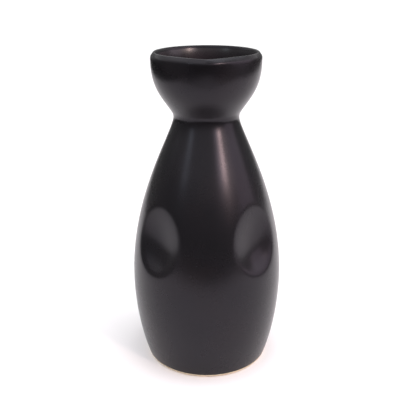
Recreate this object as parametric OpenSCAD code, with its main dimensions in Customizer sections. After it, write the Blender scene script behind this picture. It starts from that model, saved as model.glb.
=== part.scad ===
// Sake bottle: a stoneware flask with a cup-shaped mouth, a small pouring lip, two finger dents
// in its front and a bare foot ring. Millimetres, +Z up. The origin is the centre of the plane
// that it stands on, and the pouring lip faces -Y.

/* [Overall] */
// Height of the rim above the table
height = 160; // [158:0.5:164]
// Whole thickness of the wall, with the glaze on both faces
wall = 3.5; // [3:0.1:4]
// Thickness of each coat of glaze
glaze = 0.4; // [0.3:0.05:0.5]

/* [Belly and shoulder] */
// Greatest radius of the belly
belly_r = 38.5; // [37:0.5:40.5]
// Height of the greatest radius of the belly
belly_z = 44.8; // [41:0.2:49]
// Outward lean of the wall just above the foot, in degrees
foot_lean = 20.5; // [16:0.5:24]

/* [Neck] */
// Least radius of the neck
neck_r = 16.1; // [14.6:0.1:17.6]
// Height of the narrowest part of the neck
neck_z = 129; // [127:0.2:131]
// Radius of the hollow that runs round the neck
neck_bend = 5; // [4:0.1:7]
// Thickness of the slip that joins the mouth to the body
slip = 0.8; // [0.5:0.1:1.2]

/* [Mouth] */
// Greatest radius of the cup-shaped mouth
mouth_r = 26.5; // [26:0.25:28]
// Height of the greatest radius of the mouth
mouth_z = 156; // [154:0.2:156.4]
// Radius of the highest line of the rim
rim_r = 24.7; // [24.5:0.05:24.9]
// Rounding radius of the rim
rim_round = 0.65; // [0.6:0.05:0.9]
// Height at which the inside of the mouth begins to flare
flare_z = 150; // [147:0.5:152]
// Outward lean of the flare where it meets the rim, in degrees
flare_lean = 26; // [18:1:32]

/* [Pouring lip] */
// Radius of the ball that swells the rim outward
spout_ball = 11.5; // [10.5:0.5:13]
// Distance that the pouring lip stands in front of the mouth
spout_reach = 1.5; // [1:0.1:2.4]
// Depth of the shallow dip in the rim over the pouring lip
spout_dip = 0.2; // [0.1:0.1:0.8]

/* [Finger dents] */
// Angle from the pouring lip round to each dent, in degrees
dent_angle = 43; // [38:1:60]
// Height of the middle of each dent
dent_z = 73.5; // [66:0.5:80]
// Radius of the ball that shapes each dent
dent_ball = 28; // [22:1:34]
// Depth of each dent
dent_depth = 5; // [3:0.5:6]

/* [Foot] */
// Outer radius of the flat ring that touches the table
foot_r = 30.5; // [29.5:0.5:31.5]
// Rounding radius of the foot's outer edge
foot_round = 1.5; // [1:0.1:2]
// Depth of the hollow under the bottle
foot_h = 2.4; // [2.2:0.1:2.8]
// Inner radius of the flat ring that touches the table
recess_r = 26; // [24:0.5:27]
// Height at which the bare foot ends and the glaze begins
glaze_line = 1.7; // [1.2:0.1:2]
// Height of the floor inside the bottle
floor_z = 6; // [5:0.5:7]

/* [Hidden] */
$fn = 96;

// Steps along a tight bend and along a long curve
bend_steps = 5;
curve_steps = 9;
// Lean of the wall where it meets the neck's hollow from below and from above, in degrees
neck_lean = 6;
cup_lean = 32;
// Lengths of the curve handles: each pulls its curve along its end's own direction
foot_pull = 3;
belly_pull_down = 23;
belly_pull_up = 43;
shoulder_pull = 8.3;
cup_pull_down = 7.9;
cup_pull_up = 13.2;
// Inward lean of the outer wall where the rim's rounding begins, and the handles there
rim_lean = 36;
rim_pull = 0.59;
// Length of the handles of the flare inside the mouth
flare_pull = 3;
// Inside corner between the floor and the wall
floor_flat_r = 15;
corner_rise = 12;
corner_pull = 7;
// Slope of the hollow's edge under the bottle
recess_bevel = 0.6;
// Radius of the roll that presses the dip into the rim
dip_roll = 60;
// Height of the ball's centre below the rim
spout_drop = 4;
// Distance below the rim at which the outer coat ends inside the mouth
overlap_depth = 1.5;
// Room past the solids for a clean cut
over = 8;
reach = 60;

clay_colour = [0.78, 0.69, 0.55];
slip_colour = [0.70, 0.60, 0.46];
outer_colour = [0.09, 0.085, 0.095];
inner_colour = [0.12, 0.09, 0.11];

// A point on an outline is [radius, height, normal radius, normal height].
// Outlines run upward, and their normals point to their right-hand side, away from the axis.
function lean(a) = [sin(a), cos(a)];
function right_of(v) = [v[1], -v[0]] / norm(v);
function bezier_at(p, t) =
    p[0] * pow(1 - t, 3) + 3 * p[1] * t * pow(1 - t, 2) + 3 * p[2] * t * t * (1 - t) + p[3] * pow(t, 3);
function bezier_way(p, t) =
    (p[1] - p[0]) * pow(1 - t, 2) + 2 * (p[2] - p[1]) * t * (1 - t) + (p[3] - p[2]) * t * t;

// Points along a Bezier curve and along an arc, without the first, which the outline already has.
// A negative radius gives an arc whose normals point at its centre.
function curve(p, steps) = [
    for (i = [1:steps])
        let (t = i / steps)
        concat(bezier_at(p, t), right_of(bezier_way(p, t)))
];
function arc(centre, r, from, to, steps = bend_steps) = [
    for (i = [1:steps])
        let (a = from + (to - from) * i / steps)
        concat(centre + r * [cos(a), sin(a)], [cos(a), sin(a)])
];

// An outline moved a distance d along its normals, as plain [radius, height] points
function moved(path, d) = [for (p = path) [p[0] + d * p[2], p[1] + d * p[3]]];

// The wall's outer face, from the foot up
foot_end = [foot_r, foot_round] + foot_round * [cos(foot_lean), -sin(foot_lean)];
foot_bend = arc([foot_r, foot_round], foot_round, -90, -foot_lean);
belly = [belly_r, belly_z];
lower_side = curve([
    foot_end,
    foot_end + foot_pull * lean(foot_lean),
    belly - [0, belly_pull_down],
    belly
], curve_steps);
neck_centre = [neck_r + neck_bend, neck_z];
neck_start = neck_centre - neck_bend * [cos(neck_lean), sin(neck_lean)];
shoulder = curve([
    belly,
    belly + [0, belly_pull_up],
    neck_start - shoulder_pull * lean(-neck_lean),
    neck_start
], 2 * curve_steps);
neck_hollow = arc(neck_centre, -neck_bend, neck_lean, -cup_lean);
neck_end = neck_centre - neck_bend * [cos(cup_lean), -sin(cup_lean)];
mouth = [mouth_r, mouth_z];
cup = curve([
    neck_end,
    neck_end + cup_pull_down * lean(cup_lean),
    mouth - [0, cup_pull_up],
    mouth
], curve_steps);
rim_centre = [rim_r, height - rim_round];
rim_start = rim_centre + rim_round * [cos(rim_lean), sin(rim_lean)];
rim_handle = rim_pull * (rim_start[1] - mouth_z);
rim_shoulder = curve([
    mouth,
    mouth + [0, rim_handle],
    rim_start - rim_handle * lean(-rim_lean),
    rim_start
], bend_steps);
rim_outside = arc(rim_centre, rim_round, rim_lean, 90);
outside = concat(
    [[foot_r, 0, 0, -1]], foot_bend, lower_side, shoulder, neck_hollow, cup, rim_shoulder, rim_outside
);

// The wall's inner face, from the middle of the floor up
side = concat(lower_side, shoulder, neck_hollow, cup);
inner_side = [
    for (p = side)
        if (p[1] > floor_z + corner_rise && p[1] < flare_z)
            [p[0] - wall * p[2], p[1] - wall * p[3], p[2], p[3]]
];
corner_top = [inner_side[0][0], inner_side[0][1]];
corner_way = [-inner_side[0][3], inner_side[0][2]];
floor_edge = [floor_flat_r, floor_z];
corner = curve([
    floor_edge,
    floor_edge + [corner_pull, 0],
    corner_top - corner_pull * corner_way,
    corner_top
], bend_steps);
wall_top = inner_side[len(inner_side) - 1];
flare_start = [wall_top[0], wall_top[1]];
flare_way = [-wall_top[3], wall_top[2]];
flare_end = rim_centre + rim_round * [-cos(flare_lean), sin(flare_lean)];
flare = curve([
    flare_start,
    flare_start + flare_pull * flare_way,
    flare_end - flare_pull * lean(flare_lean),
    flare_end
], bend_steps);
rim_inside = arc(rim_centre, -rim_round, -flare_lean, -90);
inside = concat(
    [[0, floor_z, 0, -1], concat(floor_edge, [0, -1])],
    corner,
    [for (i = [1:len(inner_side) - 1]) inner_side[i]],
    flare,
    rim_inside
);

// Where the dents lie on the shoulder: the balls stand square to the wall
dent_wall_r = lookup(dent_z, [for (p = shoulder) [p[1], p[0]]]);
dent_tilt = lookup(dent_z, [for (p = shoulder) [p[1], atan2(p[3], p[2])]]);
dent_out = dent_ball - dent_depth;

module dent_balls(r) {
    for (turn = [-dent_angle, dent_angle])
        rotate([0, 0, turn])
            translate([0, -dent_wall_r - dent_out * cos(dent_tilt), dent_z + dent_out * sin(dent_tilt)])
                sphere(r);
}

module spout(r) {
    translate([0, spout_ball - mouth_r - spout_reach, height - spout_drop])
        sphere(r);
}

module dip(d) {
    translate([0, 0, height - spout_dip + dip_roll])
        rotate([90, 0, 0])
            cylinder(r = dip_roll + d, h = reach);
}

module slab(low, high) {
    translate([0, 0, low])
        cylinder(r = reach, h = high - low);
}

// The bottle as a full solid, shrunk by d all over
module form(d) {
    difference() {
        union() {
            rotate_extrude()
                polygon(concat(moved(outside, -d), [[0, height - d], [0, d]]));
            intersection() {
                spout(spout_ball - d);
                slab(height - 2 * spout_ball, height - d);
            }
        }
        dent_balls(dent_ball + d);
        dip(d);
    }
}

// The space inside it, open at the top and grown by d all over
module hollow(d) {
    difference() {
        union() {
            rotate_extrude()
                polygon(concat(moved(inside, d), [[rim_r, height + over], [0, height + over]]));
            spout(spout_ball - wall + d);
        }
        dent_balls(dent_ball + wall - d);
    }
}

// The fired clay between two heights
module clay(low, high) {
    intersection() {
        difference() {
            form(glaze);
            hollow(glaze);
        }
        slab(low, high);
    }
}

module recess() {
    translate([0, 0, -over])
        cylinder(r = recess_r, h = over);
    cylinder(r1 = recess_r, r2 = recess_r - recess_bevel, h = foot_h);
}

// Bare ring that the bottle stands on
module foot_ring() {
    color(clay_colour)
        difference() {
            union() {
                intersection() {
                    form(0);
                    slab(0, glaze_line);
                }
                intersection() {
                    form(glaze);
                    slab(glaze_line, foot_h);
                }
            }
            recess();
        }
}

// Floor, belly, shoulder and lower neck
module clay_body() {
    color(clay_colour)
        clay(foot_h, neck_z - slip / 2);
}

// Ring of slip between the body and the mouth
module neck_slip() {
    color(slip_colour)
        clay(neck_z - slip / 2, neck_z + slip / 2);
}

// Cup-shaped mouth with its pouring lip
module clay_mouth() {
    color(clay_colour)
        clay(neck_z + slip / 2, height);
}

// Coat in the hollow under the floor
module base_glaze() {
    color(outer_colour)
        intersection() {
            recess();
            slab(foot_h - glaze, foot_h);
        }
}

// Liner, from the floor up to the outer coat's edge inside the mouth
module inner_glaze() {
    color(inner_colour)
        intersection() {
            difference() {
                hollow(glaze);
                hollow(0);
            }
            slab(0, height - overlap_depth);
        }
}

// Outer coat, from the glaze line over the rim and a little way into the mouth
module outer_glaze() {
    color(outer_colour)
        difference() {
            form(0);
            difference() {
                form(glaze);
                intersection() {
                    hollow(glaze);
                    slab(height - overlap_depth, height + over);
                }
            }
            hollow(0);
            slab(-over, glaze_line);
        }
}

foot_ring();
clay_body();
neck_slip();
clay_mouth();
base_glaze();
inner_glaze();
outer_glaze();
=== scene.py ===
"""Sake bottle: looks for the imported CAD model, in metres, with the pouring lip facing -Y."""
import math

import bmesh
import bpy
import numpy as np
from mathutils import Matrix, Vector


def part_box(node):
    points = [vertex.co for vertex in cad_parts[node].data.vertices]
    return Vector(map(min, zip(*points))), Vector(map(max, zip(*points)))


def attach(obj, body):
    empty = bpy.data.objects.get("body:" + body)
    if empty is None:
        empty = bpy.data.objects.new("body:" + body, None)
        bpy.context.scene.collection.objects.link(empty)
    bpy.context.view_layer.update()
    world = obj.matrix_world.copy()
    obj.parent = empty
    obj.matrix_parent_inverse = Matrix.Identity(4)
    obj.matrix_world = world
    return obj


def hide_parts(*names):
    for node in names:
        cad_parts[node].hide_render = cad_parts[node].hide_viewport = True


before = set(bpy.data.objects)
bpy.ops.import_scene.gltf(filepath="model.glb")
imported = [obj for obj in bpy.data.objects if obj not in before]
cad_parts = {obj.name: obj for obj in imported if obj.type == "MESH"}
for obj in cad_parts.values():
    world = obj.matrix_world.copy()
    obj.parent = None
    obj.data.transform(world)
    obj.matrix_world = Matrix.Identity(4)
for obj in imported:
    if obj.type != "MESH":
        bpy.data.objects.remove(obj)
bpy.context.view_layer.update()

MM = 0.001

# ---------------------------------------------------------------- sizes from the frame
outer_low, outer_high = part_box("outer_glaze")
_, mouth_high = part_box("clay_mouth")
slip_low, slip_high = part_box("neck_slip")
base_low, base_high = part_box("base_glaze")
inner_low, inner_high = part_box("inner_glaze")
_, foot_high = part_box("foot_ring")

GLAZE = base_high.z - base_low.z
HEIGHT = outer_high.z
BELLY_R = outer_high.x
MOUTH_R = mouth_high.x + GLAZE
NECK_R = slip_high.x + GLAZE
NECK_Z = (slip_low.z + slip_high.z) / 2
GLAZE_LINE = outer_low.z
SLIP_LOW = slip_low.z
SLIP_HIGH = slip_high.z
FOOT_TOP = foot_high.z
BASE_R = base_high.x
FLOOR_Z = inner_low.z + GLAZE
LINER_TOP = inner_high.z

# ---------------------------------------------------------------- named dimensions of the outline
# They repeat the CAD's. A LEAN is a wall's angle from upright, and a PULL is a curve handle's length.
WALL = 3.5 * MM
BELLY_Z = 44.8 * MM
FOOT_R = 30.5 * MM
RECESS_R = 26 * MM
RECESS_TOP_R = 25.4 * MM
RECESS_ROUND = 0.35 * MM
FOOT_ROUND = 1.5 * MM
FOOT_LEAN = math.radians(20.5)
NECK_BEND = 5 * MM
NECK_LEAN = math.radians(6)
CUP_LEAN = math.radians(32)
MOUTH_Z = 156 * MM
RIM_R = 24.7 * MM
RIM_ROUND = 0.65 * MM
RIM_LEAN = math.radians(36)
RIM_PULL = 0.59
FLARE_Z = 150 * MM
FLARE_LEAN = math.radians(26)
FLARE_PULL = 3 * MM
FOOT_PULL = 3 * MM
BELLY_PULL_DOWN = 23 * MM
BELLY_PULL_UP = 43 * MM
SHOULDER_PULL = 8.3 * MM
CUP_PULL_DOWN = 7.9 * MM
CUP_PULL_UP = 13.2 * MM
# The inside corner between floor and wall. Its rise is where the CAD's corner meets its wall.
FLOOR_FLAT_R = 15 * MM
CORNER_RISE = 18.2 * MM
CORNER_PULL = 7 * MM

# Finger dents: thumb-shaped hollows, either side of the front. SAG and OUTSET move the deepest place
# down and away from the front.
DENT_TURN = math.radians(43)
DENT_Z = 73.5 * MM
DENT_HALF_WIDTH = 13.5 * MM
DENT_HALF_HEIGHT = 16.5 * MM
DENT_DEPTH = 4.6 * MM
DENT_SOFTNESS = 0.10
DENT_SAG = 0.38
DENT_OUTSET = 0.15

# Pouring lip: pulled out to a soft point, with a finger press on either side of it. LIP_POINT is 1 for
# a sharp point and 2 for a round one. The lip and the presses fade out downward over LIP_FADE.
LIP_REACH = 1.3 * MM
LIP_DIP = 0.35 * MM
LIP_HALF_WIDTH = 8.5 * MM
LIP_POINT = 1.5
LIP_FADE = 13 * MM
PRESS_DEPTH = 0.8 * MM
PRESS_PLACE = 16 * MM
PRESS_HALF_WIDTH = 7 * MM

# Mesh density: steps round the axis, fewest steps along a curve, and the gaps between rows on long
# curves, on bends, round the rim and round the foot's inner edge
TURN_STEPS = 240
LEAST_STEPS = 4
ROW_GAP = 1.2 * MM
BEND_GAP = 0.4 * MM
RIM_GAP = BEND_GAP / 2
EDGE_GAP = BEND_GAP / 3
# Rows nearer than this to a piece's end are left out
SEAM = 0.02 * MM
# Edges sharper than this are shaded as edges
SHARP = math.radians(40)

# Glaze under the floor, which gathers in the corner beside the foot ring
BASE_STEPS = 24
POOL_WIDTH = 0.8 * MM
POOL_DEPTH = 0.2 * MM

# The part of a noise's range over which a material's roughness runs from low to high
NOISE_LOW = 0.3
NOISE_HIGH = 0.7

# Studio: a pale sheet on a table in a dim room. The sheet reaches this far from the bottle, in metres
SHEET_LEFT = 0.40
SHEET_RIGHT = 0.60
SHEET_FRONT = 0.215
SHEET_BACK = 1.20
SHEET_COLOUR = (0.92, 0.89, 0.91, 1)
SHEET_GLOW = 0.05
# Strength of the plain white that the camera sees behind everything
BACKDROP = 1.1

# The room's lighter parts, each between two heights of direction (0 level, 1 straight up):
# low, high, side (-1 left, 1 right, 0 both), depth (-1 front, 1 back, 0 both), strength
LOW_FRONT = (-0.26, -0.08, 0, -1, 0.15)
WALLS = (-0.08, 0.35, 0, 0, 0.31)
UPPER_FRONT = (0.35, 0.70, 0, -1, 1.05)
HIGH_LEFT = (0.70, 0.90, -1, 0, 2.1)
UPPER_BACK = (0.30, 0.78, 0, 1, 1.2)
CEILING = (0.88, 1.10, 0, 0, 1.4)
ROOM = (LOW_FRONT, WALLS, UPPER_FRONT, HIGH_LEFT, UPPER_BACK, CEILING)
# Half the width of the soft border at a patch's two heights, and at the middle of the room
PATCH_EDGE = 0.04
HALF_EDGE = 0.15

# Square soft lights, each aimed at the shoulder: name, turn round from the front and rise above the
# horizon in degrees, distance and size in metres, watts, colour
LAMP_TARGET = (0, 0, 0.11)
LAMPS = (
    ("overhead_softbox", 75, 70, 1.6, 1.2, 13, (0.95, 1.0, 1.0)),
    ("key_lamp", 42, 26.5, 1.3, 0.10, 4.5, (1.0, 0.75, 0.67)),
    ("key_left", 33, 27, 1.3, 0.25, 0.85, (0.90, 0.81, 0.95)),
    ("key_halo", 52, 26, 1.3, 0.50, 1.5, (1.0, 0.82, 0.82)),
    ("side_softbox", 80, 18, 1.5, 0.90, 3.3, (1.0, 0.82, 0.95)),
    ("window", -50, 26, 1.6, 0.30, 0.75, (0.80, 0.92, 1.0)),
)

# Camera: sensor and lens in millimetres, place in metres, pitch and roll in radians
CAMERA_SENSOR = 36
CAMERA_LENS = 55.8
CAMERA_PLACE = (-0.00105, -0.305, 0.1972)
CAMERA_PITCH = 0.3588
CAMERA_ROLL = -0.0035


# ---------------------------------------------------------------- outline
# A row is [radius, height, normal radius, normal height, key height]. Rows run upward and their
# normals point away from the axis. The key height says where the row lies on the outside.
def lean(angle):
    """The upward way that leans outward by an angle."""
    return np.array([math.sin(angle), math.cos(angle)])


def with_normals(points, ways):
    """Rows at points on a curve that runs along ways."""
    normals = np.stack([ways[:, 1], -ways[:, 0]], 1)
    normals /= np.linalg.norm(normals, axis=1)[:, None]
    return np.concatenate([points, normals, points[:, 1:2]], 1)


def curve(p, gap=ROW_GAP):
    """Rows along a Bezier curve, without its first point."""
    p = np.array(p, float)
    length = np.linalg.norm(p[3] - p[0])
    t = np.linspace(0, 1, max(LEAST_STEPS, round(length / gap)) + 1)[1:, None]
    points = p[0] * (1 - t) ** 3 + 3 * p[1] * t * (1 - t) ** 2 + 3 * p[2] * t * t * (1 - t) + p[3] * t ** 3
    ways = (p[1] - p[0]) * (1 - t) ** 2 + 2 * (p[2] - p[1]) * t * (1 - t) + (p[3] - p[2]) * t * t
    return with_normals(points, ways)


def arc(centre, radius, start, end, gap=BEND_GAP):
    """Rows along an arc, without its first point. A negative radius turns the normals inward."""
    steps = max(LEAST_STEPS, round(abs(radius * (end - start)) / gap))
    a = np.linspace(start, end, steps + 1)[1:]
    normals = np.stack([np.cos(a), np.sin(a)], 1)
    points = np.array(centre) + radius * normals
    return np.concatenate([points, normals, points[:, 1:2]], 1)


def row(radius, height, normal_radius, normal_height):
    """A single row."""
    return np.array([[radius, height, normal_radius, normal_height, height]])


def moved(rows, distance):
    """Rows moved a distance along their normals."""
    out = rows.copy()
    out[:, 0:2] += distance * rows[:, 2:4]
    return out


def between(rows, low, high):
    """The rows from height low to height high, with rows made at just those heights."""
    ends = [np.array([[np.interp(h, rows[:, 1], rows[:, k]) for k in range(5)]]) for h in (low, high)]
    kept = rows[(rows[:, 1] > low + SEAM) & (rows[:, 1] < high - SEAM)]
    return np.concatenate([ends[0], kept, ends[1]])


def make_outline():
    """The outer face from the foot to the rim, and the inner face from the floor to the rim."""
    foot_centre = np.array([FOOT_R, FOOT_ROUND])
    foot_end = foot_centre + FOOT_ROUND * np.array([math.cos(FOOT_LEAN), -math.sin(FOOT_LEAN)])
    belly = np.array([BELLY_R, BELLY_Z])
    neck_centre = np.array([NECK_R + NECK_BEND, NECK_Z])
    neck_start = neck_centre - NECK_BEND * np.array([math.cos(NECK_LEAN), math.sin(NECK_LEAN)])
    neck_end = neck_centre - NECK_BEND * np.array([math.cos(CUP_LEAN), -math.sin(CUP_LEAN)])
    mouth = np.array([MOUTH_R, MOUTH_Z])
    rim_centre = np.array([RIM_R, HEIGHT - RIM_ROUND])
    rim_start = rim_centre + RIM_ROUND * np.array([math.cos(RIM_LEAN), math.sin(RIM_LEAN)])
    rim_handle = RIM_PULL * (rim_start[1] - MOUTH_Z)

    foot_bend = arc(foot_centre, FOOT_ROUND, -math.pi / 2, -FOOT_LEAN)
    side = np.concatenate([
        curve([foot_end, foot_end + FOOT_PULL * lean(FOOT_LEAN), belly - [0, BELLY_PULL_DOWN], belly]),
        curve([
            belly, belly + [0, BELLY_PULL_UP],
            neck_start - SHOULDER_PULL * lean(-NECK_LEAN), neck_start,
        ]),
        arc(neck_centre, -NECK_BEND, NECK_LEAN, -CUP_LEAN),
        curve([neck_end, neck_end + CUP_PULL_DOWN * lean(CUP_LEAN), mouth - [0, CUP_PULL_UP], mouth]),
    ])
    rim_shoulder = curve([
        mouth, mouth + [0, rim_handle], rim_start - rim_handle * lean(-RIM_LEAN), rim_start,
    ], BEND_GAP)
    rim_outside = arc(rim_centre, RIM_ROUND, RIM_LEAN, math.pi / 2, RIM_GAP)
    rim_inside = arc(rim_centre, -RIM_ROUND, -FLARE_LEAN, -math.pi / 2, RIM_GAP)
    outside = np.concatenate([row(FOOT_R, 0, 0, -1), foot_bend, side, rim_shoulder, rim_outside])

    wall = moved(side, -WALL)
    wall = wall[(wall[:, 1] > FLOOR_Z + CORNER_RISE) & (wall[:, 1] < FLARE_Z)]
    top, way = wall[0, 0:2], np.array([-wall[0, 3], wall[0, 2]])
    edge = np.array([FLOOR_FLAT_R, FLOOR_Z])
    corner = curve([edge, edge + [CORNER_PULL, 0], top - CORNER_PULL * way, top])
    flare_start, flare_way = wall[-1, 0:2], np.array([-wall[-1, 3], wall[-1, 2]])
    flare_end = rim_centre + RIM_ROUND * np.array([-math.cos(FLARE_LEAN), math.sin(FLARE_LEAN)])
    flare = curve([
        flare_start, flare_start + FLARE_PULL * flare_way,
        flare_end - FLARE_PULL * lean(FLARE_LEAN), flare_end,
    ])
    inside = np.concatenate([
        row(FLOOR_FLAT_R / 2, FLOOR_Z, 0, -1), row(*edge, 0, -1), corner, wall[1:], flare, rim_inside,
    ])
    return outside, inside


OUTSIDE, INSIDE = make_outline()
TURNS = np.arange(TURN_STEPS) * 2 * math.pi / TURN_STEPS


# ---------------------------------------------------------------- dents and pouring lip
def soft_bowl(rho_squared, softness):
    """1 in the middle, falling like a bowl's floor to 0 near rho = 1, with a soft edge."""
    return np.logaddexp(0, (1 - rho_squared) / softness) / np.logaddexp(0, 1 / softness)


def wrapped(angle):
    """The same angle between -pi and pi."""
    return (angle + math.pi) % (2 * math.pi) - math.pi


def dent_depth(turn, key):
    """How far the wall is pressed in. Each dent is deepest below its middle and away from the front."""
    wall_r = np.interp(DENT_Z, OUTSIDE[:, 1], OUTSIDE[:, 0])
    up = (key - DENT_Z) / DENT_HALF_HEIGHT
    depth = 0.0
    for side in (-1, 1):
        out = wrapped(side * turn - DENT_TURN) * wall_r / DENT_HALF_WIDTH
        tilt = 1 - DENT_SAG * np.clip(up, -1, 1) + DENT_OUTSET * np.clip(out, -1, 1)
        depth = depth + DENT_DEPTH * tilt * soft_bowl(out ** 2 + up ** 2, DENT_SOFTNESS)
    return depth


def lip_shape(turn, key):
    """How far the pouring lip moves the wall outward and down."""
    across = wrapped(turn) * MOUTH_R
    rise = np.clip((key - (HEIGHT - LIP_FADE)) / LIP_FADE, 0, 1)
    rise = rise * rise * (3 - 2 * rise)
    point = np.exp(-np.abs(across / LIP_HALF_WIDTH) ** LIP_POINT) * rise
    press = np.exp(-((np.abs(across) - PRESS_PLACE) / PRESS_HALF_WIDTH) ** 2) * rise
    return LIP_REACH * point - PRESS_DEPTH * press, LIP_DIP * point


def surface(rows):
    """The rows turned round the axis and shaped: an array of rows by turns by 3."""
    r, z, nr, nz, key = [rows[:, k][:, None] for k in range(5)]
    turn = TURNS[None, :]
    depth = dent_depth(turn, key)
    outward, down = lip_shape(turn, key)
    radius = r - depth * nr + outward
    height = z - depth * nz - down
    return np.stack([radius * np.sin(turn), -radius * np.cos(turn), height], 2)


# ---------------------------------------------------------------- meshes
def piece(name, loop, material, nodes, poles=()):
    """A closed mesh turned from a loop of rows. With poles, it closes on the axis at those two heights."""
    grid = surface(loop)
    verts = grid.reshape(-1, 3).tolist()
    index = np.arange(len(verts)).reshape(len(grid), TURN_STEPS)
    if not poles:
        index = np.concatenate([index, index[:1]])
    beside = np.roll(index, -1, axis=1)
    faces = np.stack([index[:-1], beside[:-1], beside[1:], index[1:]], 2).reshape(-1, 4).tolist()
    for height, ring in zip(poles, (index[0], index[-1])):
        faces += [(a, b, len(verts)) for a, b in zip(ring.tolist(), np.roll(ring, -1).tolist())]
        verts.append((0, 0, height))
    mesh = bpy.data.meshes.new(name)
    mesh.from_pydata(verts, [], faces)
    form = bmesh.new()
    form.from_mesh(mesh)
    bmesh.ops.recalc_face_normals(form, faces=form.faces)
    form.to_mesh(mesh)
    form.free()
    mesh.shade_smooth()
    mesh.set_sharp_from_angle(angle=SHARP)
    mesh.materials.append(material)
    obj = bpy.data.objects.new(name, mesh)
    bpy.context.scene.collection.objects.link(obj)
    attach(obj, "root")
    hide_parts(*nodes)
    return obj


def loop_of(up, down):
    """One loop: up the first rows and down the second, which end at the same place."""
    return np.concatenate([up, down[-2::-1]])


CLAY_OUTSIDE = moved(OUTSIDE, -GLAZE)
CLAY_INSIDE = moved(INSIDE, GLAZE)
CLAY_TOP = HEIGHT - GLAZE


def make_outer_glaze(material):
    face = loop_of(between(OUTSIDE, GLAZE_LINE, HEIGHT), between(INSIDE, LINER_TOP, HEIGHT))
    back = loop_of(between(CLAY_OUTSIDE, GLAZE_LINE, CLAY_TOP), between(CLAY_INSIDE, LINER_TOP, CLAY_TOP))
    loop = np.concatenate([face, back[::-1]])
    return piece("outer_glaze_coat", loop, material, ["outer_glaze"])


def make_inner_glaze(material):
    face = between(INSIDE, FLOOR_Z, LINER_TOP)
    back = between(CLAY_INSIDE, FLOOR_Z - GLAZE, LINER_TOP)
    loop = np.concatenate([face, back[::-1]])
    poles = (FLOOR_Z, FLOOR_Z - GLAZE)
    return piece("inner_glaze_coat", loop, material, ["inner_glaze"], poles)


def make_clay_mouth(material):
    loop = loop_of(between(CLAY_OUTSIDE, SLIP_HIGH, CLAY_TOP), between(CLAY_INSIDE, SLIP_HIGH, CLAY_TOP))
    return piece("clay_mouth_cup", loop, material, ["clay_mouth"])


def make_neck_slip(material):
    up = between(CLAY_OUTSIDE, SLIP_LOW, SLIP_HIGH)
    loop = np.concatenate([up, between(CLAY_INSIDE, SLIP_LOW, SLIP_HIGH)[::-1]])
    return piece("neck_slip_ring", loop, material, ["neck_slip"])


def make_clay_body(material):
    up = between(CLAY_OUTSIDE, FOOT_TOP, SLIP_LOW)
    loop = np.concatenate([up, between(CLAY_INSIDE, FLOOR_Z - GLAZE, SLIP_LOW)[::-1]])
    poles = (FOOT_TOP, FLOOR_Z - GLAZE)
    return piece("clay_body_wall", loop, material, ["clay_body"], poles)


def make_foot_ring(material):
    edge = arc((RECESS_R + RECESS_ROUND, RECESS_ROUND), RECESS_ROUND, math.pi, 1.5 * math.pi, EDGE_GAP)
    bare = between(OUTSIDE, 0, GLAZE_LINE)
    under_glaze = between(CLAY_OUTSIDE, GLAZE_LINE, FOOT_TOP)
    loop = np.concatenate([row(RECESS_TOP_R, FOOT_TOP, -1, 0), edge, bare, under_glaze])
    return piece("bare_foot_ring", loop, material, ["foot_ring"])


def make_base_glaze(material):
    low = FOOT_TOP - GLAZE
    radii = np.linspace(0, BASE_R, BASE_STEPS)[1:]
    pool = np.exp((radii - BASE_R) / POOL_WIDTH) * POOL_DEPTH
    under = np.concatenate([row(r, low - p, 0, -1) for r, p in zip(radii, pool)])
    loop = np.concatenate([under, row(RECESS_TOP_R, FOOT_TOP, 0, 1)])
    return piece("base_glaze_coat", loop, material, ["base_glaze"], (low, FOOT_TOP))


# ---------------------------------------------------------------- materials
class Glazing:
    """One procedural material: a Principled shader with constants on its own sockets.

    A noise's scale is in waves per metre.
    """

    def __init__(self, name, **constants):
        self.material = bpy.data.materials.new(name)
        self.material.use_nodes = True
        self.tree = self.material.node_tree
        self.shader = self.tree.nodes["Principled BSDF"]
        for socket, value in constants.items():
            self.shader.inputs[socket.replace("_", " ")].default_value = value
        self.place = self.tree.nodes.new("ShaderNodeTexCoord").outputs["Object"]

    def noise(self, scale, detail, roughness=0.5):
        """A noise in the piece's own space."""
        node = self.tree.nodes.new("ShaderNodeTexNoise")
        node.inputs["Scale"].default_value = scale
        node.inputs["Detail"].default_value = detail
        node.inputs["Roughness"].default_value = roughness
        self.tree.links.new(self.place, node.inputs["Vector"])
        return node.outputs["Fac"]

    def colours(self, value, stops):
        """Colour by value, through stops of (position, colour)."""
        node = self.tree.nodes.new("ShaderNodeValToRGB")
        ramp = node.color_ramp
        while len(ramp.elements) < len(stops):
            ramp.elements.new(0.5)
        for element, (position, colour) in zip(ramp.elements, stops):
            element.position = position
            element.color = (*colour, 1)
        self.tree.links.new(value, node.inputs["Fac"])
        self.tree.links.new(node.outputs["Color"], self.shader.inputs["Base Color"])

    def spread(self, value, low, high, socket):
        """A shader value that runs from low to high as the noise does."""
        node = self.tree.nodes.new("ShaderNodeMapRange")
        node.inputs["From Min"].default_value = NOISE_LOW
        node.inputs["From Max"].default_value = NOISE_HIGH
        node.inputs["To Min"].default_value = low
        node.inputs["To Max"].default_value = high
        self.tree.links.new(value, node.inputs["Value"])
        self.tree.links.new(node.outputs["Result"], self.shader.inputs[socket])

    def bumps(self, layers):
        """Bump from layers of (height, distance in metres), one on the other."""
        normal = None
        for value, distance in layers:
            node = self.tree.nodes.new("ShaderNodeBump")
            node.inputs["Distance"].default_value = distance
            self.tree.links.new(value, node.inputs["Height"])
            if normal is not None:
                self.tree.links.new(normal, node.inputs["Normal"])
            normal = node.outputs["Normal"]
        self.tree.links.new(normal, self.shader.inputs["Normal"])


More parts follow.
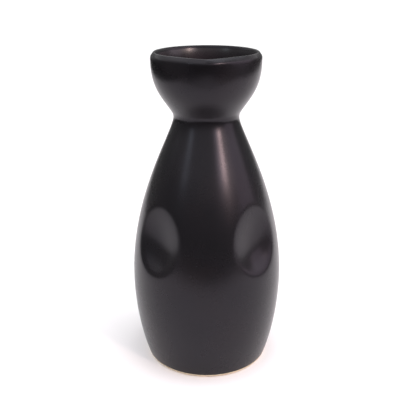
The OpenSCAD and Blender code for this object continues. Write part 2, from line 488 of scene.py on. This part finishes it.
def satin_black_glaze():
    """Satin black: faint violet and brown drift, a fine dry grain and slow waves in its thickness."""
    g = Glazing("satin_black_glaze", IOR=1.37, Specular_Tint=(0.92, 0.88, 1.0, 1))
    g.colours(g.noise(34, 3), [(0.3, (0.0060, 0.0056, 0.0064)), (0.5, (0.0075, 0.0066, 0.0080)),
                               (0.7, (0.0095, 0.0076, 0.0086))])
    g.spread(g.noise(60, 4, 0.6), 0.24, 0.29, "Roughness")
    g.bumps([(g.noise(14, 2), 0.10 * MM), (g.noise(420, 2), 0.006 * MM), (g.noise(2600, 2), 0.004 * MM)])
    return g.material


def gloss_black_liner():
    """Poured liner: the same black with more gloss and a purple-brown cast."""
    g = Glazing("gloss_black_liner", IOR=1.52)
    g.colours(g.noise(40, 3), [(0.35, (0.0130, 0.0100, 0.0130)), (0.65, (0.0250, 0.0170, 0.0220))])
    g.spread(g.noise(70, 3), 0.24, 0.30, "Roughness")
    g.bumps([(g.noise(18, 2), 0.12 * MM), (g.noise(380, 2), 0.006 * MM)])
    return g.material


def buff_stoneware():
    """Bare fired clay: warm buff with darker grog specks and a dry, sandy tooth."""
    g = Glazing("buff_stoneware", IOR=1.45)
    g.colours(g.noise(900, 6, 0.75), [(0.34, (0.30, 0.20, 0.12)), (0.42, (0.60, 0.49, 0.35)),
                                      (0.60, (0.72, 0.62, 0.47)), (0.75, (0.80, 0.71, 0.57))])
    g.spread(g.noise(500, 3), 0.78, 0.95, "Roughness")
    g.bumps([(g.noise(700, 3), 0.03 * MM), (g.noise(3200, 3), 0.02 * MM)])
    return g.material


def fired_slip():
    """Joining slip: finer and a little darker than the clay."""
    g = Glazing("fired_slip", IOR=1.45)
    g.colours(g.noise(1500, 4, 0.6), [(0.35, (0.50, 0.40, 0.28)), (0.65, (0.68, 0.57, 0.42))])
    g.spread(g.noise(800, 3), 0.75, 0.88, "Roughness")
    g.bumps([(g.noise(1800, 3), 0.015 * MM)])
    return g.material


def build_bottle():
    clay, slip = buff_stoneware(), fired_slip()
    satin, gloss = satin_black_glaze(), gloss_black_liner()
    make_foot_ring(clay)
    make_clay_body(clay)
    make_neck_slip(slip)
    make_clay_mouth(clay)
    make_base_glaze(satin)
    make_inner_glaze(gloss)
    make_outer_glaze(satin)


# ---------------------------------------------------------------- studio
def lamp(name, turn, rise, distance, size, watts, colour):
    """One square soft light, described as in LAMPS."""
    t, e = math.radians(turn), math.radians(rise)
    way = Vector((math.sin(t) * math.cos(e), -math.cos(t) * math.cos(e), math.sin(e)))
    light = bpy.data.lights.new(name, "AREA")
    light.shape = "SQUARE"
    light.size = size
    light.energy = watts
    light.color = colour
    obj = bpy.data.objects.new(name, light)
    obj.visible_camera = False
    bpy.context.scene.collection.objects.link(obj)
    obj.location = Vector(LAMP_TARGET) + way * distance
    obj.rotation_euler = (Vector(LAMP_TARGET) - obj.location).to_track_quat("-Z", "Y").to_euler()


def make_floor():
    """A plain pale sheet under the bottle."""
    mesh = bpy.data.meshes.new("floor")
    corners = [(-SHEET_LEFT, -SHEET_FRONT, 0), (SHEET_RIGHT, -SHEET_FRONT, 0),
               (SHEET_RIGHT, SHEET_BACK, 0), (-SHEET_LEFT, SHEET_BACK, 0)]
    mesh.from_pydata(corners, [], [(0, 1, 2, 3)])
    material = bpy.data.materials.new("pale_floor")
    material.use_nodes = True
    shader = material.node_tree.nodes["Principled BSDF"]
    shader.inputs["Base Color"].default_value = SHEET_COLOUR
    shader.inputs["Emission Color"].default_value = SHEET_COLOUR
    shader.inputs["Emission Strength"].default_value = SHEET_GLOW
    shader.inputs["Roughness"].default_value = 1.0
    shader.inputs["Specular IOR Level"].default_value = 0.0
    mesh.materials.append(material)
    obj = bpy.data.objects.new("floor", mesh)
    bpy.context.scene.collection.objects.link(obj)


def make_world():
    """A dim room with a few lighter parts, and a plain white backdrop for the camera."""
    world = bpy.data.worlds.new("soft_studio")
    bpy.context.scene.world = world
    world.use_nodes = True
    tree = world.node_tree
    tree.nodes.clear()
    new, link = tree.nodes.new, tree.links.new
    way = new("ShaderNodeTexCoord")
    split = new("ShaderNodeSeparateXYZ")
    link(way.outputs["Generated"], split.inputs["Vector"])

    def ramp(axis, start, end, strength=1.0):
        node = new("ShaderNodeMapRange")
        node.interpolation_type = "SMOOTHSTEP"
        node.inputs["From Min"].default_value = start
        node.inputs["From Max"].default_value = end
        node.inputs["To Max"].default_value = strength
        link(split.outputs[axis], node.inputs["Value"])
        return node.outputs["Result"]

    def combined(operation, a, b):
        node = new("ShaderNodeMath")
        node.operation = operation
        link(a, node.inputs[0])
        link(b, node.inputs[1])
        return node.outputs[0]

    total = None
    for low, high, side, depth, strength in ROOM:
        patch = combined("MULTIPLY", ramp("Z", low - PATCH_EDGE, low + PATCH_EDGE, strength),
                         ramp("Z", high + PATCH_EDGE, high - PATCH_EDGE))
        for axis, half in (("X", side), ("Y", depth)):
            if half:
                patch = combined("MULTIPLY", patch, ramp(axis, -half * HALF_EDGE, half * HALF_EDGE))
        total = patch if total is None else combined("ADD", total, patch)
    room = new("ShaderNodeBackground")
    link(total, room.inputs["Strength"])
    backdrop = new("ShaderNodeBackground")
    backdrop.inputs["Color"].default_value = (1, 1, 1, 1)
    backdrop.inputs["Strength"].default_value = BACKDROP
    path = new("ShaderNodeLightPath")
    mix = new("ShaderNodeMixShader")
    link(path.outputs["Is Camera Ray"], mix.inputs["Fac"])
    link(room.outputs[0], mix.inputs[1])
    link(backdrop.outputs[0], mix.inputs[2])
    out = new("ShaderNodeOutputWorld")
    link(mix.outputs[0], out.inputs["Surface"])


def make_lights():
    for values in LAMPS:
        lamp(*values)


def make_camera():
    data = bpy.data.cameras.new("camera")
    data.lens = CAMERA_LENS
    data.sensor_width = CAMERA_SENSOR
    camera = bpy.data.objects.new("camera", data)
    bpy.context.scene.collection.objects.link(camera)
    turn = Matrix.Rotation(math.pi / 2 - CAMERA_PITCH, 4, "X") @ Matrix.Rotation(CAMERA_ROLL, 4, "Z")
    camera.matrix_world = Matrix.Translation(CAMERA_PLACE) @ turn
    bpy.context.scene.camera = camera


build_bottle()
make_floor()
make_world()
make_lights()
make_camera()
bpy.context.scene.view_settings.view_transform = "Standard"
